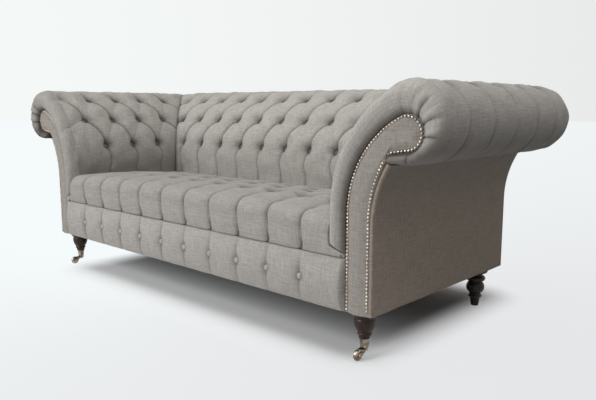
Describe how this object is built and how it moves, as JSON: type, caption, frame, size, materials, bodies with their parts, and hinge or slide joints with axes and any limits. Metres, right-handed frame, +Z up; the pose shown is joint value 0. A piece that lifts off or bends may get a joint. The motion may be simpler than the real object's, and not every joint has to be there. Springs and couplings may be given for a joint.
{
  "type": "chesterfield sofa",
  "caption": "Deep-buttoned linen chesterfield sofa with rolled arms, nailed scroll facings, turned dark legs and brass front castors.",
  "frame": {"origin": "on the floor, midway across the width and depth of the sofa", "axes": "+Z up; the sofa faces -Y; +X to the right as seen from the front"},
  "size_m": [2.206, 0.9373, 0.7895],
  "materials": {
    "linen": "matte",
    "beech": "matte",
    "dark_walnut": "satin",
    "castor_brass": "satin",
    "nail_brass": "satin",
    "spring_steel": "satin",
    "foam": "matte",
    "hessian": "matte",
    "black_cambric": "matte"
  },
  "bodies": {
    "root": {"front_rail": "beech", "rear_rail": "beech", "left_side_rail": "beech", "right_side_rail": "beech", "cross_rails": "beech", "corner_blocks": "beech", "left_facing_board": "beech", "right_facing_board": "beech", "rear_posts": "beech", "arm_uprights": "beech", "arm_top_rails": "beech", "arm_tack_rails": "beech", "back_top_rail": "beech", "back_tack_rail": "beech", "back_uprights": "beech", "roll_corner_rails": "beech", "seat_springs": "spring_steel", "spring_clips": "spring_steel", "seat_hessian": "hessian", "back_webbing": "hessian", "arm_webbing": "hessian", "seat_foam": "foam", "back_foam": "foam", "left_arm_foam": "foam", "right_arm_foam": "foam", "corner_foam": "foam", "seat_cover": "linen", "border_cover": "linen", "left_arm_cover": "linen", "right_arm_cover": "linen", "back_cover": "linen", "left_outside_panel": "linen", "right_outside_panel": "linen", "outside_back": "linen", "left_facing_panel": "linen", "right_facing_panel": "linen", "dust_cover": "black_cambric", "seat_buttons": "linen", "back_buttons": "linen", "left_arm_buttons": "linen", "right_arm_buttons": "linen", "border_buttons": "linen", "left_facing_nails": "nail_brass", "right_facing_nails": "nail_brass", "front_left_leg": "dark_walnut", "front_right_leg": "dark_walnut", "rear_left_leg": "dark_walnut", "rear_right_leg": "dark_walnut", "leg_bolts": "spring_steel", "left_castor_cup": "castor_brass", "right_castor_cup": "castor_brass", "swivel_pins": "spring_steel"},
    "left_castor": {"left_castor_fork": "castor_brass", "left_castor_axle": "spring_steel"},
    "left_wheel": {"left_castor_wheel": "castor_brass"},
    "right_castor": {"right_castor_fork": "castor_brass", "right_castor_axle": "spring_steel"},
    "right_wheel": {"right_castor_wheel": "castor_brass"}
  },
  "joints": [
    {"name": "left_castor_swivel", "type": "hinge", "parent": "root", "child": "left_castor", "pos_m": [-0.825, -0.384, 0.027], "axis": [0, 0, 1], "continuous": true},
    {"name": "left_wheel_spin", "type": "hinge", "parent": "left_castor", "child": "left_wheel", "pos_m": [-0.825, -0.415, 0.0165], "axis": [1, 0, 0], "continuous": true},
    {"name": "right_castor_swivel", "type": "hinge", "parent": "root", "child": "right_castor", "pos_m": [0.825, -0.384, 0.027], "axis": [0, 0, 1], "continuous": true},
    {"name": "right_wheel_spin", "type": "hinge", "parent": "right_castor", "child": "right_wheel", "pos_m": [0.825, -0.415, 0.0165], "axis": [1, 0, 0], "continuous": true}
  ]
}
